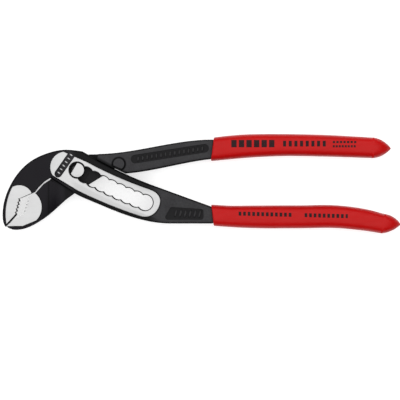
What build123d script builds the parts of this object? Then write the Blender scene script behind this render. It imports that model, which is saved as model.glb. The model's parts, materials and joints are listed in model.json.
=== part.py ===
from build123d import *
import os
from math import acos, atan2, cos, degrees, hypot, radians, sin

# Tongue and groove pliers: two forged arms, the pin that joins them, and two grips.
# All lengths are millimetres and all angles are degrees.
#
# The arms are drawn in a frame with the pin's axis at the origin, X along the handles, Y across
# them in the flat of the tool, and Z through its thickness with zero on the middle plane.
# The last step moves every piece so that the origin is the middle of the underside.

# The slot: a shallow arc of overlapping round seats that the pin steps along
SLOT_RADIUS = 195.0
SLOT_SLOPE = 30.5            # how steeply the slot falls at its first seat
SEATS = 9
SEAT_PITCH = 4.25
SEAT_RADIUS = 3.5
SEAT_CHAMFER = 0.45

# Travel of the two joints
ADJUST_TRAVEL = degrees((SEATS - 1) * SEAT_PITCH / SLOT_RADIUS)
OPENING_TRAVEL = 60.0

# Thicknesses, measured right through the tool
LAND_THICKNESS = 10.0        # polished faces of the box
PAD_THICKNESS = 9.6          # polished faces of the jaws
BODY_THICKNESS = 8.4         # black forged surfaces
TONGUE_THICKNESS = 4.2
POCKET_THICKNESS = 4.4
BOSS_THICKNESS = 10.4
GRIP_THICKNESS = 12.6
TANG_THICKNESS = 7.0

# The box
RIM_RISE = 8.5               # from the slot's centre line up to the box's top edge
SHOULDER_GAP = 0.2           # between that edge and the handle that rides along it
HUB_RADIUS = 6.8             # round end of the tongue
POCKET_GAP = 0.3             # between the tongue's edges and the pocket's walls
LAND_BEVEL = 0.5
PAD_BEVEL = 0.4
PAD_LONG_EDGE = 5.9          # only the pads' long back edges are bevelled
LABEL_WIDTH = 3.4
RECESS_DEPTH = 0.4

# The joint pin, which just passes the points between the seats
PIN_GAP = 0.05
PIN_RADIUS = (SEAT_RADIUS ** 2 - (SEAT_PITCH / 2) ** 2) ** 0.5 - PIN_GAP
PIN_FLAT = 1.6               # from the pin's axis to the flat on its ends
PIN_BEVEL = 0.47
RELIEF_RADIUS = 5.4

# Jaw teeth
TEETH = 5
TOOTH_DEPTH = 0.85
TOOTH_LEAN = 0.3             # where the root sits along each tooth
OUTER_TEETH = ((-25.6, -12.6), (-27.5, -20.1))
INNER_TEETH = ((-21.9, -12.5), (-24.3, -20.0))

FLARE_START = -9.6           # where the inner jaw begins to thicken from the tongue
FLARE_END = -13.8

# Handles
SHOULDER_TURN = 1.62         # where the inner handle's shoulder begins and ends, in turn along the slot
APEX_TURN = 6.0
FORGED_ROUND = 1.3           # rounding of the forged edges
LONG_EDGE = 18.0             # shorter edges, such as those of the jaws' mouths, stay sharp
MOUTH_X = 61.0               # where the grips begin
TANG_ROOT = 4.0              # how far the gripped steel runs back into the bare handle
TANG_STOP = 3.0              # how far short of the grip's last station the steel ends
GRIP_WALL = 1.1
GRIP_GAP = 0.1
GRIP_ROUND = 3.8
END_LENGTH = 1.3             # length of a grip's rounded end, as a share of its half width

# Centre lines of the gripped parts of the handles: distance past the mouth, y, and half the grip's width
UPPER_STATIONS = [(0.0, 9.4, 5.4), (14.0, 10.8, 5.4), (31.0, 11.35, 5.05), (51.0, 11.05, 4.9), (74.6, 10.0, 4.8)]
LOWER_STATIONS = [(0.0, -20.3, 4.8), (19.0, -21.1, 4.95), (39.0, -21.2, 5.15), (57.0, -21.0, 5.1),
                  (69.0, -22.3, 4.95), (79.6, -24.9, 4.5)]


def slot_point(turn, rise=0.0):
    """Point that is turn degrees along the slot and rise above its centre line."""
    angle = radians(270 - SLOT_SLOPE + turn)
    reach = SLOT_RADIUS - rise
    x = SLOT_RADIUS * sin(radians(SLOT_SLOPE)) + reach * cos(angle)
    y = SLOT_RADIUS * cos(radians(SLOT_SLOPE)) + reach * sin(angle)
    return (x, y)


def slot_arc(first, last, first_rise, last_rise):
    """Arc beside the slot from one turn to another, with its own rise at each end."""
    middle = slot_point((first + last) / 2, (first_rise + last_rise) / 2)
    return ThreePointArc(slot_point(first, first_rise), middle, slot_point(last, last_rise))


def swing(point, angle):
    """Turn a point about the pin's axis."""
    turned = Vector(*point).rotate(Axis.Z, angle)
    return (turned.X, turned.Y)


def hub_tangent(point, radius):
    """Where the line from a point touches the far upper side of a circle about the pin."""
    x, y = point
    angle = degrees(atan2(y, x)) - degrees(acos(radius / hypot(x, y)))
    return (radius * cos(radians(angle)), radius * sin(radians(angle)))


def face_of(*edges):
    """Flat face inside a closed run of edges."""
    return make_face(Wire.combine(edges, tol=1e-4)[0].edges())


def slab(face, thickness):
    """Solid of the given thickness, half above and half below the middle plane."""
    return extrude(face, thickness / 2, both=True)


def both_faces(solid, half_thickness):
    """A solid drawn standing on the middle plane, placed on both faces of the tool."""
    upper = Pos(0, 0, half_thickness) * solid
    return upper + mirror(upper, Plane.XY)


def rim_edges(solid, half_thickness):
    """Edges that lie in the upper or lower face of a slab."""
    return [edge for edge in solid.edges()
            if all(abs(abs(vertex.Z) - half_thickness) < 1e-6 for vertex in edge.vertices())
            and abs(abs(edge.center().Z) - half_thickness) < 1e-6]


def forged_slab(face):
    """Body of an arm, with its long outer edges rounded like a forging."""
    solid = slab(face, BODY_THICKNESS)
    long_edges = [edge for edge in rim_edges(solid, BODY_THICKNESS / 2) if edge.length > LONG_EDGE]
    return fillet(long_edges, FORGED_ROUND)


def bevelled_slab(face, thickness, bevel, shortest=0.0):
    """Slab whose edges are ground to a bevel, leaving out those no longer than shortest."""
    solid = slab(face, thickness)
    return chamfer([edge for edge in rim_edges(solid, thickness / 2) if edge.length > shortest], bevel)


def tooth_gaps(first, last, side):
    """The gaps between the teeth along a line, cut on one side of it."""
    run = Vector(*last) - Vector(*first)
    pitch = run * (1 / TEETH)
    inward = Vector(-run.Y, run.X).normalized() * (side * TOOTH_DEPTH)
    outward = inward * -1
    gaps = []
    for number in range(TEETH):
        start = Vector(*first) + pitch * number
        root = start + pitch * TOOTH_LEAN + inward
        gap = Polyline(start + outward, start, root, start + pitch, start + pitch + outward, close=True)
        gaps.append(slab(make_face(gap), 2 * PAD_THICKNESS))
    return Compound(gaps)


def handle_plan(stations, inset, root):
    """Outline a set distance inside a grip's own, from root before its mouth to a round far end."""
    upper = []
    lower = []
    for number, (past, y, half) in enumerate(stations):
        before = stations[max(number - 1, 0)]
        after = stations[min(number + 1, len(stations) - 1)]
        along = Vector(after[0] - before[0], after[1] - before[1]).normalized()
        if number == 0:
            along = Vector(1, 0)
        spot = Vector(MOUTH_X + past, y)
        across = Vector(-along.Y, along.X) * (half - inset)
        upper.append(spot + across)
        lower.append(spot - across)
        end = spot + along * (END_LENGTH * half - inset)
    edges = [
        Spline(*upper, tangents=[(1, 0), along]),
        Spline(upper[-1], end, lower[-1], tangents=[along, along * -1]),
        Spline(*lower[::-1], tangents=[along * -1, (-1, 0)]),
    ]
    start_upper = upper[0] - Vector(root, 0)
    start_lower = lower[0] - Vector(root, 0)
    if root > 0:
        edges += [Line(start_upper, upper[0]), Line(lower[0], start_lower)]
    return face_of(*edges, Line(start_lower, start_upper))


def core(stations, inset, thickness, stop):
    """What fills the middle of one grip, cut off square at the stop short of its last station."""
    far_end = MOUTH_X + stations[-1][0] - stop
    keep = Box(far_end, far_end, thickness, align=(Align.MAX, Align.CENTER, Align.CENTER))
    return slab(handle_plan(stations, inset, TANG_ROOT), thickness) & Pos(far_end, 0, 0) * keep


def tang(stations):
    """Steel core of one handle, from just inside the bare handle to near the grip's end."""
    return core(stations, GRIP_WALL, TANG_THICKNESS, TANG_STOP)


def grip(stations):
    """Dipped sleeve: a well rounded outside, hollow where the steel goes."""
    outside = slab(handle_plan(stations, 0, 0), GRIP_THICKNESS)
    round_edges = [edge for edge in rim_edges(outside, GRIP_THICKNESS / 2) if edge.length > GRIP_THICKNESS]
    hollow = core(stations, GRIP_WALL - GRIP_GAP, TANG_THICKNESS + 2 * GRIP_GAP, TANG_STOP - GRIP_GAP)
    return fillet(round_edges, GRIP_ROUND) - hollow


def seat_row():
    """Everything cut away to make the slot: a bevelled round seat at every step."""
    half = LAND_THICKNESS / 2
    seats = []
    for number in range(SEATS):
        x, y = slot_point(number * ADJUST_TRAVEL / (SEATS - 1))
        bevel = Cone(SEAT_RADIUS, SEAT_RADIUS + 2 * SEAT_CHAMFER, 2 * SEAT_CHAMFER,
                     align=(Align.CENTER, Align.CENTER, Align.MIN))
        seat = Cylinder(SEAT_RADIUS, 2 * LAND_THICKNESS)
        seat += both_faces(bevel, half - SEAT_CHAMFER)
        seats.append(Pos(x, y, 0) * seat)
    row = seats[0]
    for seat in seats[1:]:
        row += seat
    return row


def outer_outline():
    """Plan of the box arm from the jaw's tip to just inside its grip."""
    rim = slot_arc(0.9, ADJUST_TRAVEL, RIM_RISE, RIM_RISE)
    grip_middle, grip_half = LOWER_STATIONS[0][1:]
    handle_top = (MOUTH_X, grip_middle + grip_half - GRIP_WALL)
    back = Spline((-32.4, -25.6), (-33.7, -20.5), (-30.8, -8.0), (-21.5, 3.7), (-10.6, 8.5), (-3.5, 9.2), (1.6, 8.6),
                  rim @ 0, tangents=[(-0.6, 0.8), rim % 0])
    belly = Spline((42.0, -24.1), (32.8, -23.2), (16.5, -18.2), (5.7, -13.7), (-1.1, -10.5),
                   tangents=[(-1, 0), (-0.86, 0.51)])
    return face_of(
        back,
        rim,
        Polyline(rim @ 1, handle_top, (MOUTH_X, -24.1), belly @ 0),
        belly,
        Polyline(belly @ 1, (-11.5, -4.0), (-12.4, -3.4), (-15.2, -5.2), (-17.9, -7.9), (-19.4, -9.9),
                 OUTER_TEETH[0], OUTER_TEETH[1], (-32.0, -25.3), back @ 0),
    )


def outer_pad():
    """Plan of the polished face beside the box jaw's teeth."""
    return face_of(
        ThreePointArc((-29.4, -7.4), (-25.4, -6.5), (-20.6, -9.4)),
        Polyline((-20.6, -9.4), (-20.6, -10.42), OUTER_TEETH[0], OUTER_TEETH[1], (-32.0, -25.0)),
        Spline((-32.0, -25.0), (-32.5, -19.5), (-31.7, -13.5), (-29.4, -7.4)),
    )


def land():
    """Plan of the polished face round the slot."""
    upper = slot_arc(0.5, ADJUST_TRAVEL, 5.7, 6.6)
    lower = slot_arc(ADJUST_TRAVEL, 1.35, -6.8, -8.2)
    seat_x, seat_y = slot_point(ADJUST_TRAVEL)
    end_slope = radians(ADJUST_TRAVEL - SLOT_SLOPE)
    end_tip = (seat_x + 6.9 * cos(end_slope), seat_y + 6.9 * sin(end_slope))
    return face_of(
        upper,
        Spline(upper @ 1, end_tip, lower @ 0, tangents=[upper % 1, lower % 0]),
        lower,
        Line(lower @ 1, (-10.2, -3.3)),
        ThreePointArc((-10.2, -3.3), (-11.7, 3.4), (-5.2, 8.3)),
        Line((-5.2, 8.3), upper @ 0),
    )


def pocket():
    """The space between the cheeks that the tongue swings and steps in."""
    foot = (-12.4 - POCKET_GAP, -4.4 + POCKET_GAP)
    touch = hub_tangent(foot, HUB_RADIUS + 2 * POCKET_GAP)
    top = swing((10.0, 7.4 + 2 * POCKET_GAP), OPENING_TRAVEL)
    plan = Polyline(foot, touch, top, (20.0, 14.0), (52.0, -4.0), (47.9, -11.0), (41.4, -16.6), (40.7, -19.4),
                    (42.6, -25.0), (42.6, -30.0), (-9.0, -16.0), close=True)
    return slab(make_face(plan), POCKET_THICKNESS)


def label_recess():
    """The blank maker's bar sunk in each polished face of the box."""
    bar = SlotOverall(15.5, LABEL_WIDTH, rotation=55)
    floor = Pos(-5.0, 3.3, 0) * extrude(bar, RECESS_DEPTH + 1)
    return both_faces(floor, LAND_THICKNESS / 2 - RECESS_DEPTH)


def lower_panel():
    """The sunk panel on each side of the box arm's handle."""
    plan = Polyline((38.9, -22.4), (57.0, -22.4), (57.0, -17.6), (42.2, -16.6), close=True)
    panel = fillet(make_face(plan).vertices(), 1.2)
    return both_faces(extrude(panel, RECESS_DEPTH + 1), BODY_THICKNESS / 2 - RECESS_DEPTH)


def outer_arm():
    """Box arm: upper jaw, two cheeks with the slot through them, and the lower handle."""
    arm = forged_slab(outer_outline())
    arm += bevelled_slab(outer_pad(), PAD_THICKNESS, PAD_BEVEL, PAD_LONG_EDGE)
    arm += bevelled_slab(land(), LAND_THICKNESS, LAND_BEVEL, LONG_EDGE)
    arm += tang(LOWER_STATIONS)
    arm -= tooth_gaps(*OUTER_TEETH, -1)
    arm -= pocket()
    arm -= seat_row()
    arm -= label_recess()
    arm -= lower_panel()
    return arm


def tongue():
    """Plan of the thin part of the inner arm that passes through the box."""
    foot = (-12.4, -4.4)
    touch = hub_tangent(foot, HUB_RADIUS)
    top = (0.4, HUB_RADIUS)
    crown = swing((HUB_RADIUS, 0), 112)
    return face_of(
        Line(foot, touch),
        ThreePointArc(touch, crown, top),
        Polyline(top, (5.7, 7.1), (10.0, 7.2), (18.0, 5.0), (18.0, 1.4), (-1.1, -10.3), (-5.2, -13.3),
                 (-10.6, -18.2), (-13.0, -17.0), (-14.5, -7.5), foot),
    )


def jaw():
    """Plan of the full thickness of the inner arm's jaw."""
    return face_of(
        Polyline((-28.9, -26.85), (-31.2, -26.0), (-31.65, -25.15), (-28.1, -21.9), (-25.4, -20.7), INNER_TEETH[1],
                 INNER_TEETH[0], (-21.9, -11.9), (-18.6, -10.2), (-15.2, -6.3), (-12.5, -4.5),
                 (FLARE_START, -5.9), (FLARE_START, -17.3)),
        Spline((FLARE_START, -17.3), (-13.4, -20.5), (-18.8, -24.1), (-24.2, -26.5), (-28.9, -26.85)),
    )


def jaw_flare():
    """Side view of the inner jaw, which thickens from the tongue out to its full body."""
    thin = TONGUE_THICKNESS / 2
    thick = BODY_THICKNESS / 2
    side = Polyline((FLARE_START, -thin), (FLARE_START, thin), (FLARE_END, thick), (-40, thick), (-40, -thick),
                    (FLARE_END, -thick), close=True)
    return extrude(Plane.XZ * make_face(side), 40, both=True)


def inner_pad():
    """Plan of the polished face beside the inner jaw's teeth."""
    return face_of(
        Polyline((-18.3, -23.0), (-24.4, -25.5), (-30.6, -25.6), (-31.65, -25.15), (-28.1, -21.9), (-25.4, -20.7),
                 INNER_TEETH[1], INNER_TEETH[0], (-21.9, -11.9), (-18.6, -10.2)),
        ThreePointArc((-18.6, -10.2), (-15.6, -16.8), (-18.3, -23.0)),
    )


def inner_handle():
    """Plan of the inner arm's bare handle, from its shoulder on the box to its grip."""
    shoulder = slot_arc(SHOULDER_TURN, APEX_TURN, RIM_RISE + SHOULDER_GAP, RIM_RISE + SHOULDER_GAP)
    return face_of(
        shoulder,
        Spline(shoulder @ 1, (30.1, -0.5), (46.4, 2.7), (MOUTH_X, 5.1)),
        Line((MOUTH_X, 5.1), (MOUTH_X, 13.8)),
        Spline((MOUTH_X, 13.8), (46.4, 12.6), (30.1, 9.7), (9.6, 7.3)),
        Line((9.6, 7.3), shoulder @ 0),
    )


def finger_stop():
    """Round boss with a flat side that keeps the closing handles off the fingers."""
    boss = Circle(2.9) - Pos(0, -4.9) * Rectangle(8, 6)
    return bevelled_slab(Pos(18.8, 2.75) * Rot(0, 0, -21) * boss, BOSS_THICKNESS, 0.4)


def upper_panel():
    """The long sunk panel on each side of the inner arm's handle."""
    bar = Pos(41.8, 7.4, 0) * extrude(SlotOverall(35.6, 3.9, rotation=8.9), RECESS_DEPTH + 1)
    return both_faces(bar, BODY_THICKNESS / 2 - RECESS_DEPTH)


def inner_arm():
    """Tongue arm: upper handle, thin tongue through the box, and the lower jaw."""
    arm = forged_slab(inner_handle())
    arm += slab(tongue(), TONGUE_THICKNESS)
    arm += slab(jaw(), BODY_THICKNESS) & jaw_flare()
    arm += bevelled_slab(inner_pad(), PAD_THICKNESS, PAD_BEVEL, PAD_LONG_EDGE)
    arm += finger_stop()
    arm += tang(UPPER_STATIONS)
    arm -= upper_panel()
    arm -= tooth_gaps(*INNER_TEETH, 1)
    arm -= Cylinder(PIN_RADIUS + PIN_GAP, 2 * LAND_THICKNESS)
    arm -= both_faces(Cylinder(RELIEF_RADIUS, 1, align=(Align.CENTER, Align.CENTER, Align.MIN)),
                      TONGUE_THICKNESS / 2 - RECESS_DEPTH)
    return arm


def joint_pin():
    """Pin through both arms, with bevelled ends that have one flat side each."""
    half = LAND_THICKNESS / 2
    pin = Cylinder(PIN_RADIUS, LAND_THICKNESS)
    head = Cone(PIN_RADIUS, PIN_RADIUS + PIN_BEVEL, PIN_BEVEL, align=(Align.CENTER, Align.CENTER, Align.MIN))
    pin += both_faces(head, half - PIN_BEVEL)
    cutter = Box(6, 12, half, align=(Align.MIN, Align.CENTER, Align.MIN))
    flat = Rot(0, 0, 180 - SLOT_SLOPE) * Pos(PIN_FLAT, 0, 0) * cutter
    return pin - both_faces(flat, POCKET_THICKNESS / 2)


pieces = {
    "outer_arm": outer_arm(),
    "inner_arm": inner_arm(),
    "joint_pin": joint_pin(),
    "upper_grip": grip(UPPER_STATIONS),
    "lower_grip": grip(LOWER_STATIONS),
}

box = Compound(list(pieces.values())).bounding_box()
to_origin = Pos(-box.center().X, -box.center().Y, -box.min.Z)

os.makedirs("parts", exist_ok=True)
for name, solid in pieces.items():
    export_step(to_origin * solid, "parts/" + name + ".step")
pivot = to_origin.position
print("origin shift", pivot.X, pivot.Y, pivot.Z)
print("adjust axis", pivot.X + SLOT_RADIUS * sin(radians(SLOT_SLOPE)), pivot.Y + SLOT_RADIUS * cos(radians(SLOT_SLOPE)))
print("adjust travel", ADJUST_TRAVEL, "overall", box.size)
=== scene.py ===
# %% [markdown]
# # Tongue and groove pliers
#
# Two black forged arms cross in a box joint and are held by one pin that steps along a scalloped
# slot. The jaws and the box are ground bright on their flat faces, and the handles are dipped in
# red plastic. The engineering model of the five pieces is loaded first, and everything made here
# lies where that model has it. This lesson eases the steel's edges and gives it its finishes, adds
# the raised ribs, builds the two grips as numpy surfaces, and lights it all.

import json
from math import radians

import bmesh
import bpy
import numpy as np
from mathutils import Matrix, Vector


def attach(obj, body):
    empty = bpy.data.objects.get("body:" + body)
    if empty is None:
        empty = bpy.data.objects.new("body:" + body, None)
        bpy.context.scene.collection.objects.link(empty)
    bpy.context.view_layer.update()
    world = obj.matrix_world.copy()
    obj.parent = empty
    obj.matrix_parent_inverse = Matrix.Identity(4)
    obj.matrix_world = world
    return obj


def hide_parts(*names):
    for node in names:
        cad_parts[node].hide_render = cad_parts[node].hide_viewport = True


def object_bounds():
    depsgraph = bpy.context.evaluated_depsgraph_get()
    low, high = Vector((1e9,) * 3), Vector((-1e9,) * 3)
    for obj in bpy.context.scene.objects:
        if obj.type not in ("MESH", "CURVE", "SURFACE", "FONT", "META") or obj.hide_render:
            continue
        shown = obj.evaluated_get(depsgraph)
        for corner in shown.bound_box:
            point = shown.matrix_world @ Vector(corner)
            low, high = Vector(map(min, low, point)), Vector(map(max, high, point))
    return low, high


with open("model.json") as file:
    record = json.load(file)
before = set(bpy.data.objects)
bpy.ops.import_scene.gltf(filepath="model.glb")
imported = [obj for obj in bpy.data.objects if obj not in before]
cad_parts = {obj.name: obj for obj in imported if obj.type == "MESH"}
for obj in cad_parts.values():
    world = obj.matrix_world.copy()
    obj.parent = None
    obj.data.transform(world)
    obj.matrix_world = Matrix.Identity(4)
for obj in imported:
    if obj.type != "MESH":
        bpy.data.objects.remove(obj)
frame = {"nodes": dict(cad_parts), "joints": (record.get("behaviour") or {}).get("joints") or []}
bounds_at_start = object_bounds()
print("frame box", bounds_at_start)

# %% [markdown]
# ## Where things are
#
# The scene is in metres, and MM turns a tool's millimetres into them. The pin's axis is the natural
# centre of the tool: the two arms, the slot and the grips were all laid out from it, so this lesson
# measures from it too. The middle plane is half way through the thickness, and the tool is the same
# above and below it.

# %% The pin's axis and the middle plane
MM = 0.001
opening = next(joint for joint in frame["joints"] if joint["name"] == "opening")
PIN = np.array(opening["pos_m"])
MIDDLE = PIN[2]
print("pin at", PIN)


# %% [markdown]
# ## Arithmetic for materials
#
# A material is a web of nodes, and most of the web is plain arithmetic on numbers. Adding those
# nodes by hand hides the formula, so a small class stands for one number in the web and turns the
# ordinary operators into Math nodes. A second class holds one material and adds any other node.

# %% A number in a material
class Number:
    """A number that varies over the surface. Each operator adds one Math node."""

    def __init__(self, finish, socket):
        self.finish = finish
        self.socket = socket

    def math(self, operation, *others, **settings):
        """Add a Math node that works on this number and the others."""
        inputs = dict(enumerate([self, *others]))
        made = self.finish.node("ShaderNodeMath", {"operation": operation, **settings}, inputs)
        return Number(self.finish, made.outputs[0])

    def __add__(self, other):
        return self.math("ADD", other)

    __radd__ = __add__

    def __mul__(self, other):
        return self.math("MULTIPLY", other)

    __rmul__ = __mul__

    def __sub__(self, other):
        return self.math("SUBTRACT", other)

    def __rsub__(self, other):
        return (self * -1) + other

    def __abs__(self):
        return self.math("ABSOLUTE")

    def above(self, edge, blur):
        """0 below the edge and 1 above it, with a ramp of width blur between."""
        return ((self - edge) * (1 / blur) + 0.5).math("ADD", 0.0, use_clamp=True)


print("numbers in a material can be added, taken away, multiplied and held against an edge")


# %% A material
# A Mix node lists its sockets for plain numbers and for vectors before those for colours.
MIX_SHARE = 0
MIX_FIRST = 6
MIX_SECOND = 7
MIX_RESULT = 2


class Finish:
    """One material, with its Principled shader and the places that its patterns read."""

    def __init__(self, name):
        self.material = bpy.data.materials.new(name)
        self.material.use_nodes = True
        self.tree = self.material.node_tree
        self.shader = self.tree.nodes["Principled BSDF"]
        self.place = self.node("ShaderNodeTexCoord").outputs["Object"]
        self.x, self.y, self.z = self.numbers(self.place)

    def node(self, kind, settings=None, inputs=None):
        """Add a node: its settings first, then a value or a link for each named input."""
        made = self.tree.nodes.new(kind)
        for key, value in (settings or {}).items():
            setattr(made, key, value)
        for key, value in (inputs or {}).items():
            self.feed(made.inputs[key], value)
        return made

    def feed(self, socket, value):
        """Put a plain value in a socket, or link a number or another socket to it."""
        if isinstance(value, Number):
            value = value.socket
        if isinstance(value, bpy.types.NodeSocket):
            self.tree.links.new(value, socket)
        else:
            socket.default_value = value

    def set(self, **values):
        """Set the shader's own sockets; an underscore stands for a space."""
        for name, value in values.items():
            self.feed(self.shader.inputs[name.replace("_", " ")], value)

    def numbers(self, vector):
        """The x, y and z of a vector, as three numbers."""
        split = self.node("ShaderNodeSeparateXYZ", {}, {0: vector})
        return [Number(self, socket) for socket in split.outputs]

    def facing(self):
        """How squarely the surface faces up: 1 on a level face, 0 on an upright side, -1 below."""
        normal = self.node("ShaderNodeNewGeometry").outputs["Normal"]
        return self.numbers(normal)[2]

    def noise(self, scale, detail=3.0, place=None):
        """Cloudy pattern from 0 to 1, with scale features to the metre."""
        inputs = {"Vector": place or self.place, "Scale": scale, "Detail": detail}
        return Number(self, self.node("ShaderNodeTexNoise", {}, inputs).outputs[0])

    def turned(self, angle, stretch):
        """Object coordinates turned about Z and stretched along the new X, for brushed patterns."""
        inputs = {"Vector": self.place, "Rotation": (0, 0, radians(angle)), "Scale": (stretch, 1, 1)}
        return self.node("ShaderNodeMapping", {}, inputs).outputs[0]

    def mix(self, share, first, second):
        """Colour that is the first where share is 0 and the second where it is 1."""
        inputs = {MIX_SHARE: share, MIX_FIRST: first, MIX_SECOND: second}
        return self.node("ShaderNodeMix", {"data_type": "RGBA"}, inputs).outputs[MIX_RESULT]

    def bump(self, height, depth):
        """Normal that is tilted by a height from 0 to 1 standing for depth metres."""
        inputs = {"Height": height, "Distance": depth, "Strength": 1.0}
        return self.node("ShaderNodeBump", {}, inputs).outputs[0]


print("material tools ready")

# %% [markdown]
# ## Forged arms with eased edges
#
# The model's edges are perfectly sharp, and no forging is: even a ground edge has a small round
# that catches a line of light. One way is a Bevel node, which only fakes the round in the shading.
# Here the round is real. A copy of each arm has its loose triangles merged, its flat faces joined
# up, and a Bevel modifier turned loose on every edge that is sharper than a set angle.

# %% Ease the edges of a steel piece
MERGE_DISTANCE = 1e-6
LEVEL_ANGLE = radians(0.5)
EASE_ANGLE = radians(28)
EASE_STEPS = 2
ARM_EASE = 0.16 * MM
PIN_EASE = 0.10 * MM


def eased(node, width):
    """Copy a node's mesh, merge its triangles into whole faces, and round its sharp edges by width."""
    mesh = frame["nodes"][node].data.copy()
    whole = bmesh.new()
    whole.from_mesh(mesh)
    bmesh.ops.remove_doubles(whole, verts=whole.verts, dist=MERGE_DISTANCE)
    bmesh.ops.dissolve_limit(whole, angle_limit=LEVEL_ANGLE, verts=whole.verts, edges=whole.edges)
    whole.to_mesh(mesh)
    whole.free()
    piece = bpy.data.objects.new(node + "_eased", mesh)
    bpy.context.collection.objects.link(piece)
    bevel = piece.modifiers.new("eased edges", "BEVEL")
    bevel.width = width
    bevel.segments = EASE_STEPS
    bevel.limit_method = "ANGLE"
    bevel.angle_limit = EASE_ANGLE
    bevel.harden_normals = True
    bevel.use_clamp_overlap = True
    mesh.shade_smooth()
    print(node, "has", len(mesh.polygons), "faces after merging")
    return piece


outer = eased("outer_arm", ARM_EASE)
inner = eased("inner_arm", ARM_EASE)
pin = eased("joint_pin", PIN_EASE)

# %% [markdown]
# ## Black steel, ground bright where it works
#
# After forging, the whole arm is blackened, and then the flat faces of the jaws and the box are
# ground bright again. So there is one finish with a mask in it: the ground faces are simply the
# highest parts of the arm, so how far a point lies from the middle plane says which it is. The jaws
# are a little thinner than the box, so the mask's level changes along the arm.

# %% The colours of the steel
BLACK = (0.021, 0.020, 0.022, 1)
BLACK_WORN = (0.038, 0.038, 0.040, 1)
JAW_BLACK = (0.0050, 0.0042, 0.0062, 1)
# The darkest black is painted shade in hollows, inside the box and on the upright sides, and also the
# darker end of the ribs' random clouds.
SHADE_BLACK_AND_DARK_TONE = (0.001, 0.001, 0.0011, 1)
BRIGHT = (0.38, 0.38, 0.38, 1)
BRIGHT_DULL = (0.32, 0.32, 0.32, 1)
STEEL_SHINE = 0.1
print("steel runs from", SHADE_BLACK_AND_DARK_TONE[:3], "where it is oily to", BRIGHT[:3], "where it is ground")

# %% Where the steel is ground bright
# The tongue arm has nothing ground inside the box, so its level there is out of reach. Where a mask
# has an edge, that edge is a place and the width of the ramp across it.
PAD_LEVEL = 4.70 * MM
LAND_LEVEL = 4.88 * MM
OUT_OF_REACH = 20 * MM
GROUND_BLUR = 0.06 * MM
BOX_FROM = (PIN[0] - 14 * MM, 0.5 * MM)


def ground_bright(finish, height, jaw_level, box_level):
    """Mask of the ground faces: points higher than jaw_level on the jaw and box_level on the box."""
    on_box = finish.x.above(*BOX_FROM)
    return height.above(on_box * (box_level - jaw_level) + jaw_level, GROUND_BLUR)


print("ground above", round(PAD_LEVEL / MM, 2), "mm on the jaws")
print("ground above", round(LAND_LEVEL / MM, 2), "mm on the box")

# %% [markdown]
# ## Painted shade in the corners
#
# Handling rubs the black a little lighter where fingers reach it. Shade is painted into the colour:
# the black is made darker in the sunk panels, inside the box, on the upright sides and in the tight
# band round a raised face, where the real tool lies in shade. Painting that by hand would take a
# texture, so each place is a mask from the shape itself: a height, the way the surface faces, or a
# distance from the slot's line or from the finger-stop's centre.

# %% Painted shade beside the ground face and round the finger stop
SLOT_RADIUS = 195 * MM
SLOT_SLOPE = radians(30.5)
SLOT_CENTRE = PIN + SLOT_RADIUS * np.array([np.sin(SLOT_SLOPE), np.cos(SLOT_SLOPE), 0])
RIM_INSIDE = (5 * MM, 0.5 * MM)
RIM_OUTSIDE = (9.6 * MM, 1 * MM)
RIM_FROM = (PIN[0] - 2 * MM, 3 * MM)
RIM_UNTIL = (PIN[0] + 35 * MM, 6 * MM)
# How strongly painted shade darkens the band along the box's rims, where the real tool's sloping rims lie
# dark.
RIM_SHADE = 0.85
BOSS = PIN + [18.8 * MM, 2.75 * MM, 0]
RING_INSIDE = (2.5 * MM, 0.25 * MM)
RING_OUTSIDE = (3.3 * MM, 0.5 * MM)


def distance_from(finish, spot):
    """How far a point lies from the upright line through a spot."""
    x = finish.x - spot[0]
    y = finish.y - spot[1]
    return (x * x + y * y).math("SQRT")


def rim(finish):
    """Mask of painted shade on the band along the box's edges, by distance from the slot's curved centre
    line.

    The slot is part of a wide circle, so how far a point lies from that circle's own line is how
    far it lies to the side of the slot: 1 from the ground face out to the edge, fading past it.
    """
    aside = abs(distance_from(finish, SLOT_CENTRE) - SLOT_RADIUS)
    along = finish.x.above(*RIM_FROM) * (1 - finish.x.above(*RIM_UNTIL))
    band = aside.above(*RIM_INSIDE) * (1 - aside.above(*RIM_OUTSIDE))
    return band * along * RIM_SHADE


def boss_ring(finish):
    """Mask of painted shade in the ring round the finger-stop boss's foot, and on the rims."""
    reach = distance_from(finish, BOSS)
    ring = reach.above(*RING_INSIDE) * (1 - reach.above(*RING_OUTSIDE))
    return (ring + rim(finish)).math("MINIMUM", 1.0)


print("slot's circle has its centre at", SLOT_CENTRE.round(4), "and the finger stop is at", BOSS.round(4))

# %% Everywhere that gets painted shade
PANEL_FLOOR = 3.8
SUNK_LEVEL = PANEL_FLOOR * MM
SUNK_FROM = (SUNK_LEVEL - 0.25 * MM, 0.1 * MM)
SUNK_UNTIL = (SUNK_LEVEL + 0.12 * MM, 0.1 * MM)
SUNK_SHADE = 0.7
INSIDE_FROM = (PIN[0] - 6 * MM, 2 * MM)
INSIDE_UNTIL = (2.6 * MM, 0.8 * MM)
INSIDE_SHADE = 0.7
LEVEL_FACING = (0.72, 0.3)
SIDE_SHADE = 0.8


def painted_shade(finish, height, shade_band):
    """Mask of painted shade, where the black is made darker: sunk floors, the inside of the box, upright
    sides and one band.
    """
    # Each share is painted shade: sunk floors and the tongue inside the box lie in shade, and upright
    # sides face away from the light.
    sunk = height.above(*SUNK_FROM) * (1 - height.above(*SUNK_UNTIL))
    inside = (1 - height.above(*INSIDE_UNTIL)) * finish.x.above(*INSIDE_FROM)
    side = (1 - abs(finish.facing()).above(*LEVEL_FACING)) * SIDE_SHADE
    shade_share = sunk * SUNK_SHADE + inside * INSIDE_SHADE + shade_band(finish) + side
    return shade_share.math("MINIMUM", 1.0)


print("sunk panels lie", PANEL_FLOOR, "mm from the middle plane")


# %% One steel with both looks
JAW_UNTIL = (PIN[0] - 3 * MM, 12 * MM)
GRINDING_ANGLE = -35
GRINDING_STRETCH = 0.04


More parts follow.
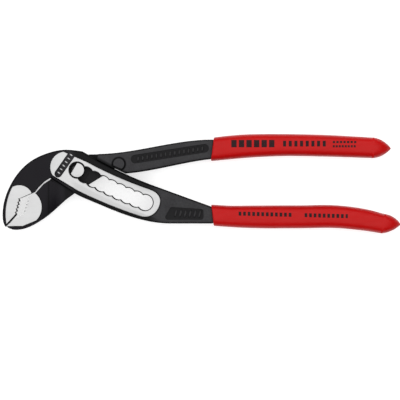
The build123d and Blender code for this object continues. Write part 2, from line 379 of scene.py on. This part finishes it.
def forged_steel(name, ground_levels, shade_band):
    """Blackened forging; ground_levels gives the bright faces' height on the jaws and on the box."""
    finish = Finish(name)
    height = abs(finish.z - MIDDLE)
    bright = ground_bright(finish, height, *ground_levels)
    shade_share = painted_shade(finish, height, shade_band)

    cloud = finish.noise(180, 4)  # broad patches
    scale = finish.noise(1400, 5)  # the forging's rough skin
    grain = finish.noise(5200, 2)  # the finest roughness
    lines = finish.noise(900, 3, finish.turned(GRINDING_ANGLE, GRINDING_STRETCH))
    wear = (cloud * 0.5 + scale * 0.5).above(0.52, 0.4) * (1 - shade_share)
    jaw = 1 - finish.x.above(*JAW_UNTIL)

    forged = finish.mix(jaw, finish.mix(wear, BLACK, BLACK_WORN), JAW_BLACK)
    # Painted shade: the black goes to its darkest where the shade mask says, and the wear is left off
    # there.
    black = finish.mix(shade_share, forged, SHADE_BLACK_AND_DARK_TONE)
    silver = finish.mix((lines * 0.6 + cloud * 0.4).above(0.5, 0.5), BRIGHT_DULL, BRIGHT)
    black_roughness = 0.42 + cloud * 0.14
    ground_roughness = 0.28 + lines * 0.16
    forged_skin = scale * 0.7 + grain * 0.3
    finish.set(
        Base_Color=finish.mix(bright, black, silver),
        Metallic=bright,
        Roughness=(1 - bright) * black_roughness + bright * ground_roughness + shade_share * 0.12,
        Normal=finish.bump((1 - bright) * forged_skin + bright * lines * 0.12, 0.09 * MM),
        Specular_IOR_Level=STEEL_SHINE,
    )
    print(name, "has", len(finish.tree.nodes), "nodes")
    return finish.material


steel_outer = forged_steel("forged steel, box arm", (PAD_LEVEL, LAND_LEVEL), rim)
steel_inner = forged_steel("forged steel, tongue arm", (PAD_LEVEL, OUT_OF_REACH), boss_ring)

# %% [markdown]
# ## The pin
#
# The pin is turned and then ground flush with the box, so only its two ends shine. Its sides sit
# deep in the slot, in shade, and that shade is painted into them as the darkest black. One mask on
# the height is enough for that, as on the arms.

# %% Bright turned steel for the pin
PIN_END = (4.5 * MM, 0.1 * MM)


def pin_steel():
    """Ground end faces, with painted shade in the darkest black on the sides and on the step behind the
    flat.
    """
    finish = Finish("ground pin steel")
    cloud = finish.noise(260)
    grain = finish.noise(4200, 2)
    end_face = abs(finish.z - MIDDLE).above(*PIN_END)
    finish.set(
        # Painted shade: everything but the end faces takes the darkest black.
        Base_Color=finish.mix(end_face, SHADE_BLACK_AND_DARK_TONE, finish.mix(cloud, BRIGHT_DULL, BRIGHT)),
        Metallic=end_face * 0.8 + 0.2,
        Roughness=0.26 + cloud * 0.14,
        Normal=finish.bump(grain, 0.01 * MM),
    )
    print("pin is bright from", round(PIN_END[0] / MM, 2), "mm outwards")
    return finish.material


# %% Finishes on the steel pieces
def dress(piece, material):
    """Give a piece one material in place of any it has."""
    piece.data.materials.clear()
    piece.data.materials.append(material)


for piece, node, material in (
    (outer, "outer_arm", steel_outer),
    (inner, "inner_arm", steel_inner),
    (pin, "joint_pin", pin_steel()),
):
    dress(piece, material)
    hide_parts(node)
    print(node, "wears", material.name)
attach(outer, "box_arm")
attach(inner, "tongue_arm")
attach(pin, "pin")

# %% [markdown]
# ## Raised ribs and bars
#
# Each arm carries a sunk panel with a raised pattern forged in it, and the box carries a short bar
# of bright raised strokes. On the real tool that is where a maker puts a name; here it is a plain
# row of slanted ribs. One rib could be a scaled sphere, but a sphere is too pointed at its ends. Here
# it is a low mound over a rounded bar: its height falls off as a smooth power of the distance from
# its middle. All the ribs of a row are one grid, worked out in one go.

# %% One mound
# The skirt is how far a mound's edge goes on down into the steel, in millimetres.
MOUND_RINGS = 7
MOUND_SPOTS = 24
MOUND_SKIRT = 0.3
END_POWER = 0.5
SIDE_POWER = 0.8


def signed_power(value, power):
    """The size of a value to a power, with the value's own sign."""
    return np.sign(value) * np.abs(value) ** power


def mound(length, width, height, across):
    """Rings of one mound, from its top out to its edge and on down into the steel.

    A point's height is height times (1 - r^4), where r grows from 0 in the middle to 1 at the edge.
    The edge is an ellipse with its cosine and its sine each to a power below one, which fills its
    corners out. The long way points along the angle across.
    """
    turn = np.linspace(0, 2 * np.pi, MOUND_SPOTS, endpoint=False)
    r, t = np.meshgrid(np.linspace(0, 1, MOUND_RINGS), turn, indexing="ij")
    long_way = length / 2 * signed_power(np.cos(t), END_POWER) * r
    short_way = width / 2 * signed_power(np.sin(t), SIDE_POWER) * r
    x = long_way * np.cos(across) - short_way * np.sin(across)
    y = long_way * np.sin(across) + short_way * np.cos(across)
    up = height * (1 - r**4)
    skirt = np.stack([x[-1], y[-1], np.full(MOUND_SPOTS, -MOUND_SKIRT)], axis=1)
    return np.concatenate([np.stack([x, y, up], axis=2), skirt[None]])


print("one mound has", mound(1, 1, 1, 0).size // 3, "points")


# %% Meshes from grids
def new_piece(name, points, faces):
    """Piece made of an array of points and of lists that say which points each face joins."""
    mesh = bpy.data.meshes.new(name)
    mesh.from_pydata(points.tolist(), [], faces)
    piece = bpy.data.objects.new(name, mesh)
    bpy.context.collection.objects.link(piece)
    return piece


def ring_corners(rings, around):
    """Numbers of the first corner of each face between two rings, and of the point beside it."""
    ring, spot = np.meshgrid(np.arange(rings - 1), np.arange(around), indexing="ij")
    corner = (ring * around + spot).ravel()
    beside = (ring * around + (spot + 1) % around).ravel()
    return corner, beside


print("two rings of four points are joined by", len(ring_corners(2, 4)[0]), "faces")

# %% Rows of mounds
CLOSE_DISTANCE = 1e-7


def rib_faces(count, rings):
    """Faces of count mounds on the upper side, then of as many turned over, then their bottoms."""
    corner, beside = ring_corners(rings, MOUND_SPOTS)
    one = np.stack([corner, corner + MOUND_SPOTS, beside + MOUND_SPOTS, beside], axis=1)
    starts = np.arange(count)[:, None] * rings * MOUND_SPOTS
    upper = (one[None] + starts[:, :, None]).reshape(-1, 4)
    lower_start = count * rings * MOUND_SPOTS
    edge = (rings - 1) * MOUND_SPOTS + np.arange(MOUND_SPOTS)
    upper_bottoms = starts + edge[::-1]
    lower_bottoms = starts + edge + lower_start
    groups = (upper, upper[:, ::-1] + lower_start, upper_bottoms, lower_bottoms)
    return [face for group in groups for face in group.tolist()]


def rib_row(name, first, last, count, rib, lean, floor_level):
    """Row of mounds on both faces of an arm, standing on floor_level, in millimetres from the pin.

    Their middles share out the straight line from first to last evenly. rib gives the length, width
    and height of each, and its long side leans over by lean degrees from straight across the row.
    """
    first, last = np.array(first, float), np.array(last, float)
    middles = first + (last - first) * np.linspace(0, 1, count)[:, None]
    row_angle = np.arctan2(*(last - first)[::-1])
    one = mound(*rib, row_angle + np.pi / 2 - radians(lean))
    sides = []
    for side in (1, -1):
        places = np.column_stack([middles, np.full(count, side * floor_level)])
        sides.append(one * [1, 1, side] + places[:, None, None, :])
    points = np.concatenate(sides).reshape(-1, 3) * MM + PIN

    piece = new_piece(name, points, rib_faces(count, len(one)))
    shape = bmesh.new()
    shape.from_mesh(piece.data)
    bmesh.ops.remove_doubles(shape, verts=shape.verts, dist=CLOSE_DISTANCE)
    bmesh.ops.recalc_face_normals(shape, faces=shape.faces)
    shape.to_mesh(piece.data)
    shape.free()
    piece.data.shade_smooth()
    print(name, "has", count, "ribs a side")
    return piece


# %% The three rows
BAR_FLOOR = 4.6
RIB_LEAN = 14
UPPER_RIB = (2.5, 1.15, 0.42)
LOWER_RIB = (3.6, 1.15, 0.42)
STROKE = (1.9, 0.75, 0.38)
upper_ribs = rib_row(
    "upper_handle_ribs",
    first=(27.5, 5.1),
    last=(56.5, 9.65),
    count=15,
    rib=UPPER_RIB,
    lean=RIB_LEAN,
    floor_level=PANEL_FLOOR,
)
lower_ribs = rib_row(
    "lower_handle_ribs",
    first=(44.5, -19.5),
    last=(55.3, -19.9),
    count=6,
    rib=LOWER_RIB,
    lean=RIB_LEAN,
    floor_level=PANEL_FLOOR,
)
bar_strokes = rib_row(
    "box_bar_strokes",
    first=(-8.2, -1.25),
    last=(-2.6, 6.75),
    count=6,
    rib=STROKE,
    lean=0,
    floor_level=BAR_FLOOR,
)


# %% Ribs on their arms
def rib_steel(name, low, high, metal):
    """Steel of raised marks, which goes from the low colour to the high one in small clouds."""
    finish = Finish(name)
    cloud = finish.noise(900, 4)
    finish.set(
        Base_Color=finish.mix(cloud, low, high),
        Roughness=0.34 + cloud * 0.2,
        Normal=finish.bump(finish.noise(3000, 3), 0.02 * MM),
        Metallic=metal,
        Specular_IOR_Level=0.2,
    )
    return finish.material


dress(upper_ribs, rib_steel("worn ribs, tongue arm", SHADE_BLACK_AND_DARK_TONE, BLACK, 0.0))
dress(lower_ribs, rib_steel("worn ribs, box arm", SHADE_BLACK_AND_DARK_TONE, BLACK, 0.0))
dress(bar_strokes, rib_steel("bright strokes", BRIGHT_DULL, BRIGHT, 1.0))
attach(upper_ribs, "tongue_arm")
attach(lower_ribs, "box_arm")
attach(bar_strokes, "box_arm")
print("ribs and strokes ride on their arms")

# %% [markdown]
# ## Dipped grips
#
# The handles are dipped in hot liquid plastic, which sets as a skin. It hangs a little thicker
# along the flats, turns over in a soft roll at the mouth, and closes in a drawn-out nose. A grip is
# therefore a tube whose section changes along a curved centre line. It is worked out as one grid:
# one direction runs along the grip's profile, from the nose to the mouth and back inside to the
# steel's end, and the other runs round the section, which is a superellipse: fuller than an
# ellipse and softer than a rectangle.

# %% Centre lines of the grips
# Each station is a place on the centre line and half the grip's width there, in millimetres.
UPPER_STATIONS = [
    (61, 9.5, 5.5),
    (75, 10.8, 5.35),
    (92, 11.35, 5.0),
    (112, 11.05, 4.9),
    (133.6, 10.1, 4.65),
]
LOWER_STATIONS = [
    (61, -20.4, 4.95),
    (68, -20.85, 4.9),
    (80, -21.1, 5.15),
    (100, -21.1, 5.2),
    (118, -21.1, 5.15),
    (130, -22.5, 4.9),
    (138.2, -24.2, 4.45),
]
UPPER_TIP = (141.8, 9.8)
LOWER_TIP = (146.2, -24.6)


def smooth_through(stations, along):
    """Smooth curve through the stations, at each share of the way from the first to the last.

    Each stretch between two stations is a Hermite blend of the place and the slope at its ends. The
    slope at a station is the average of those of the straight lines to its two neighbours, in which
    the nearer one counts for more, and at either end it is that of the one line there.
    """
    stations = np.array(stations, float)
    steps = np.r_[0, np.cumsum(np.hypot(*np.diff(stations[:, :2], axis=0).T))]
    slopes = np.gradient(stations, steps, axis=0)
    place = along * steps[-1]
    left = np.clip(np.searchsorted(steps, place, "right") - 1, 0, len(steps) - 2)
    span = (steps[left + 1] - steps[left])[:, None]
    t = (place[:, None] - steps[left][:, None]) / span
    return (
        stations[left] * (2 * t**3 - 3 * t**2 + 1)
        + slopes[left] * span * (t**3 - 2 * t**2 + t)
        + stations[left + 1] * (3 * t**2 - 2 * t**3)
        + slopes[left + 1] * span * (t**3 - t**2)
    )


half_way = np.array([0.5])
print("upper grip half way:", smooth_through(UPPER_STATIONS, half_way)[0].round(2))
print("lower grip half way:", smooth_through(LOWER_STATIONS, half_way)[0].round(2))

# %% [markdown]
# ## One profile for both grips
#
# A ring of the grid needs to know five things: how far along the centre line it lies, how deep in
# the wall, how wide and how high it is beside the full section, and how far it reaches past an end
# of the centre line. Those are the same for both grips, so they are worked out once. The nose could
# be a plain half circle, but a dipped nose hangs in a drawn-out drip, so it is a superellipse too.

# %% The rings, from the nose outside to the steel's end inside
NOSE_RINGS = 18
OUTSIDE_RINGS = 150
LIP_RINGS = 13
INSIDE_RINGS = 60
END_RINGS = 10
NOSE_REACH_POWER = 1.75
NOSE_WIDTH_POWER = 1.2
NOSE_HEIGHT_POWER = 1.9
NOSE_FIRST = 0.03
END_LAST = 0.06
END_REACH = 0.3
LIP_REACH = 0.09


def quarter(first, last, count):
    """Even angles over a quarter turn, from one share of it to another."""
    return np.linspace(first, last, count) * np.pi / 2


def grip_rings():
    """Arrays of the share along, the depth, the width, the height and the reaches of each ring.

    On the nose an angle grows from nearly 0 at the tip to a quarter turn at the full section. The
    reach is its cosine, and the width and the height are its sine, each to two over a power of its
    own. A low power for the width draws the nose out to a blunt point, and a higher one keeps its
    height round. The lip is half a circle from outside to inside, and the hollow's end is a low
    dome. The depth is 0 outside and 1 inside.
    """
    nose = quarter(NOSE_FIRST, 1, NOSE_RINGS)
    lip = np.linspace(0, np.pi, LIP_RINGS + 2)[1:-1]
    end = quarter(1, END_LAST, END_RINGS)
    outside = np.linspace(1, 0, OUTSIDE_RINGS)
    inside = np.linspace(0, 1, INSIDE_RINGS)
    tube = np.ones(OUTSIDE_RINGS + LIP_RINGS + INSIDE_RINGS)
    not_inside = np.zeros(NOSE_RINGS + OUTSIDE_RINGS)
    return {
        "along": np.r_[np.ones(NOSE_RINGS), outside, np.zeros(LIP_RINGS), inside, np.ones(END_RINGS)],
        "depth": np.r_[not_inside, (1 - np.cos(lip)) / 2, np.ones(INSIDE_RINGS + END_RINGS)],
        "wide": np.r_[np.sin(nose) ** (2 / NOSE_WIDTH_POWER), tube, np.sin(end)],
        "high": np.r_[np.sin(nose) ** (2 / NOSE_HEIGHT_POWER), tube, np.sin(end)],
        "past_nose": np.r_[np.cos(nose) ** (2 / NOSE_REACH_POWER), 0 * tube, END_REACH * np.cos(end)],
        "before_mouth": np.r_[not_inside, np.sin(lip) * LIP_REACH, np.zeros(INSIDE_RINGS + END_RINGS)],
    }


RINGS = grip_rings()
print("a grip has", len(RINGS["along"]), "rings")

# %% The surface of one grip
AROUND = 112
GRIP_HALF_THICKNESS = 6.3 * MM
TANG_HALF_THICKNESS = 3.5 * MM
TANG_ROOM = 0.1 * MM
WALL = 1.0 * MM
UPPER_LEAN = 0.7 * MM
LOWER_LEAN = -0.6 * MM
MOUTH_SHIFT = 0.5 * MM
LEAN_FADE = 12
MOUTH_THINNING = 0.07
THINNING_FADE = 9
THINNING_IN_WIDTH = 0.4
OUTSIDE_POWER = 3.1
POWER_GAIN_INSIDE = 4
TIP_POWER = 2.2
HEADING_STEP = 0.002


def superellipse(turn, width, height, power):
    """Points round a section: |across/width| and |up/height|, each to a power, add up to one."""
    across = width * signed_power(np.cos(turn), 2 / power)
    up = height * signed_power(np.sin(turn), 2 / power)
    return across, up


def heading_at(stations, along):
    """Angle in which the centre line runs at each share along it; at the mouth it is along X."""
    after = smooth_through(stations, np.clip(along + HEADING_STEP, 0, 1))
    step = after - smooth_through(stations, np.clip(along - HEADING_STEP, 0, 1))
    heading = np.arctan2(step[:, 1], step[:, 0])
    heading[along == 0] = 0
    return heading


def grip_grid(stations, tip, lean):
    """Rings of one grip, from its nose along the outside, round the lip and back along the inside.

    Each ring is a superellipse round its place on the centre line, square to the way the line runs.
    From outside to inside its half width loses the wall, and its half height goes from the skin's
    to the steel's with a little room, and both are multiplied by the ring's shares. Near the mouth
    the skin thins by an exponential in the share along, and its edge slants by lean on each side,
    which fades out along the grip in the same way.
    """
    along, depth, wide, high = RINGS["along"], RINGS["depth"], RINGS["wide"], RINGS["high"]
    centre = smooth_through(stations, along)
    half = centre[:, 2] * MM
    to_tip = (np.array(tip) - centre[0, :2])[None] * MM * RINGS["past_nose"][:, None]
    before = np.stack([half * RINGS["before_mouth"], 0 * half], axis=1)
    middle = centre[:, :2] * MM + to_tip - before

    thinning = MOUTH_THINNING * np.exp(-along * THINNING_FADE)
    width = (half * (1 - thinning * THINNING_IN_WIDTH) - depth * WALL) * wide
    skin = GRIP_HALF_THICKNESS * (1 - thinning)
    height = (skin * (1 - depth) + (TANG_HALF_THICKNESS + TANG_ROOM) * depth) * high
    power = (OUTSIDE_POWER + POWER_GAIN_INSIDE * depth) * wide + TIP_POWER * (1 - wide)

    turn = np.linspace(0, 2 * np.pi, AROUND, endpoint=False)
    across, up = superellipse(turn[None, :], width[:, None], height[:, None], power[:, None])
    slant = (across / half[:, None] * lean + MOUTH_SHIFT) * np.exp(-along * LEAN_FADE)[:, None]
    heading = heading_at(stations, along)[:, None]
    x = middle[:, :1] + slant - across * np.sin(heading)
    y = middle[:, 1:] + across * np.cos(heading)
    return np.stack([x, y, up], axis=2) + PIN


upper_grid = grip_grid(UPPER_STATIONS, UPPER_TIP, UPPER_LEAN)
lower_grid = grip_grid(LOWER_STATIONS, LOWER_TIP, LOWER_LEAN)
print("each grip is a grid of", upper_grid.shape[:2], "points")


# %% The two grips
def closed_tube(name, grid):
    """Mesh of a grid of rings, joined round each ring and closed by a point at both ends."""
    rings, around = grid.shape[:2]
    points = np.concatenate([grid.reshape(-1, 3), grid[[0, -1]].mean(axis=1)])
    corner, beside = ring_corners(rings, around)
    sides = np.stack([corner, beside, beside + around, corner + around], axis=1)
    spots = np.arange(around)
    after = (spots + 1) % around
    last = (rings - 1) * around
    first_cap = np.stack([after, spots, np.full(around, len(points) - 2)], axis=1)
    last_cap = np.stack([last + spots, last + after, np.full(around, len(points) - 1)], axis=1)
    piece = new_piece(name, points, sides.tolist() + first_cap.tolist() + last_cap.tolist())
    piece.data.validate()
    piece.data.shade_smooth()
    return piece


def enclosed_volume(piece):
    """Volume inside a closed mesh: a sixth of the sum of a . (b x c) over its triangles' corners."""
    mesh = piece.data
    mesh.calc_loop_triangles()
    spots = np.empty(len(mesh.vertices) * 3)
    mesh.vertices.foreach_get("co", spots)
    corners = np.empty(len(mesh.loop_triangles) * 3, dtype=int)
    mesh.loop_triangles.foreach_get("vertices", corners)
    triangles = spots.reshape(-1, 3)[corners.reshape(-1, 3)]
    a, b, c = triangles[:, 0], triangles[:, 1], triangles[:, 2]
    return float((a * np.cross(b, c)).sum() / 6)


def grip(name, grid):
    """One grip as a closed skin whose faces point outwards."""
    piece = closed_tube(name, grid)
    if enclosed_volume(piece) < 0:
        piece.data.flip_normals()
    print(name, "holds", round(enclosed_volume(piece) / MM**3), "cubic millimetres of plastic")
    return piece


upper_grip = grip("upper_grip_dipped", upper_grid)
lower_grip = grip("lower_grip_dipped", lower_grid)

# %% [markdown]
# ## Red plastic with printed bars
#
# Dipped plastic is glossy but not flat: it has a faint orange-peel swell, fine scuffs that dull it,
# and a deeper colour in places. Pad printing puts dark marks on the upper flat of the grip.
# Here they are plain bars and dashes: a mask made by arithmetic on the distance along the handle.

# %% Printed bars
RED = (0.43, 0.003, 0.003, 1)
RED_DEEP = (0.34, 0.002, 0.002, 1)
INK = (0.012, 0.001, 0.002, 1)
PLASTIC_SHINE = 0.12
FLAT_FACING = (0.6, 0.1)
PRINT_BLUR = 0.1 * MM
STRIP_BLUR = 0.12 * MM
BAR_BLUR = 0.05
LOWER_PRINT_TILT = -0.024


def bars(finish, start, length, middle, height, pitch, solid, tilt=0.0):
    """Mask of upright bars: 1 on the solid share of each pitch, inside a strip along the handle.

    The strip's middle line passes middle at start and climbs by tilt from there. Places and sizes
    are in millimetres from the pin. The distance along is divided by the pitch, and a bar is where
    what is left over after the whole number lies below solid.
    """
    along = finish.x - (PIN[0] + start * MM)
    across = finish.y - (along * tilt + (PIN[1] + middle * MM))
    on_strip = (height * MM / 2 - abs(across)).above(0, STRIP_BLUR)
    inside = along.above(0, PRINT_BLUR) * (length * MM - along).above(0, PRINT_BLUR)
    ramp = (along * (1 / (pitch * MM))).math("FRACT")
    return on_strip * inside * (solid - ramp).above(0, BAR_BLUR)


def dipped_plastic(name, marks):
    """Red dip with marks printed on its upper flat, each given as the values that bars() takes."""
    finish = Finish(name)
    cloud = finish.noise(60, 3)
    swell = finish.noise(420, 2)
    scuff = finish.noise(700, 6, finish.turned(8, 0.25))
    printed = bars(finish, **marks[0])
    for mark in marks[1:]:
        printed = printed + bars(finish, **mark)
    on_flat = finish.facing().above(*FLAT_FACING)
    patchy = finish.noise(2600).above(0.30, 0.15) * 0.4 + 0.6
    ink = printed.math("MINIMUM", 1.0) * on_flat * patchy
    red = finish.mix(cloud.above(0.55, 0.6) * 0.5, RED, RED_DEEP)
    finish.set(
        Base_Color=finish.mix(ink, red, INK),
        Roughness=0.30 + scuff.above(0.56, 0.2) * 0.16 + cloud * 0.06,
        Normal=finish.bump(swell * 0.8 + scuff * 0.2, 0.035 * MM),
        Specular_IOR_Level=PLASTIC_SHINE,
    )
    print(name, "has", len(marks), "strips of print")
    return finish.material


# %% Plastic on the grips
upper_marks = [
    dict(start=69.5, length=20.3, middle=11.9, height=3.3, pitch=3.4, solid=0.72),
    dict(start=92.8, length=20.3, middle=11.9, height=2.6, pitch=2.55, solid=0.55),
    dict(start=115.2, length=10.6, middle=12.6, height=1.0, pitch=1.6, solid=0.65),
    dict(start=115.2, length=10.6, middle=10.7, height=1.0, pitch=1.35, solid=0.65),
]
lower_marks = [
    dict(start=72.8, length=24.5, middle=-19.6, height=1.8, pitch=2.05, solid=0.6, tilt=LOWER_PRINT_TILT),
    dict(start=102.5, length=19.5, middle=-20.3, height=1.8, pitch=2.05, solid=0.6, tilt=LOWER_PRINT_TILT),
]
dress(upper_grip, dipped_plastic("dipped plastic, upper grip", upper_marks))
dress(lower_grip, dipped_plastic("dipped plastic, lower grip", lower_marks))
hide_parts("upper_grip")
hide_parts("lower_grip")
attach(upper_grip, "tongue_arm")
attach(lower_grip, "box_arm")

# %% [markdown]
# ## Floor, light and camera
#
# The tool lies on a pale table, which glows a little so that it stays even and pale around dark
# steel. A wide soft light hangs above, because flat ground steel seen from above mirrors whatever is
# over it. Everything lower is left dim on purpose: the sloping rims mirror the room near the
# horizon, so they draw the dark outlines round the bright faces.

# %% Floor
FLOOR_REACH = 3.0
FLOOR_GLOW = 0.6
floor_corners = np.array([(-1, -1, 0), (1, -1, 0), (1, 1, 0), (-1, 1, 0)]) * FLOOR_REACH
floor = new_piece("table", floor_corners, [(0, 1, 2, 3)])
table = Finish("pale table")
table.set(
    Base_Color=(0.6, 0.6, 0.6, 1),
    Roughness=0.8,
    Emission_Color=(1, 1, 1, 1),
    Emission_Strength=FLOOR_GLOW,
)
dress(floor, table.material)
print("table reaches", FLOOR_REACH, "metres each way")

# %% Light above and dim room
tool_centre = np.array(bounds_at_start).mean(axis=0)
LIGHT_PLACE = (-0.15, 0.25, 1.45)
LIGHT_SIZE = 3.0
LIGHT_POWER = 60
ROOM_COLOUR = (0.55, 0.56, 0.58, 1)
ROOM_STRENGTH = 0.18

overhead_data = bpy.data.lights.new("overhead", "AREA")
overhead_data.size = LIGHT_SIZE
overhead_data.energy = LIGHT_POWER
overhead = bpy.data.objects.new("overhead", overhead_data)
overhead.location = LIGHT_PLACE
aim = Vector(tool_centre - np.array(LIGHT_PLACE))
overhead.rotation_euler = aim.to_track_quat("-Z", "Y").to_euler()
bpy.context.collection.objects.link(overhead)

world = bpy.data.worlds.new("room")
world.use_nodes = True
world.node_tree.nodes["Background"].inputs["Color"].default_value = ROOM_COLOUR
world.node_tree.nodes["Background"].inputs["Strength"].default_value = ROOM_STRENGTH
bpy.context.scene.world = world
bpy.context.scene.view_settings.view_transform = "Standard"
print("light hangs at", LIGHT_PLACE, "and faces", tool_centre.round(4))

# %% Camera
# A camera looks straight down until it is turned, which is what this view needs.
VIEW_WIDTH = 181.0 * MM
VIEW_MIDDLE = (55.43 * MM, -13.48 * MM)
CAMERA_HEIGHT = 1.2
SENSOR_WIDTH = 36
camera_data = bpy.data.cameras.new("camera")
camera_data.sensor_width = SENSOR_WIDTH
camera_data.lens = SENSOR_WIDTH * (CAMERA_HEIGHT - MIDDLE) / VIEW_WIDTH
camera = bpy.data.objects.new("camera", camera_data)
camera.location = (PIN[0] + VIEW_MIDDLE[0], PIN[1] + VIEW_MIDDLE[1], CAMERA_HEIGHT)
bpy.context.collection.objects.link(camera)
bpy.context.scene.camera = camera
print("camera's lens is", round(camera_data.lens, 1), "mm long")
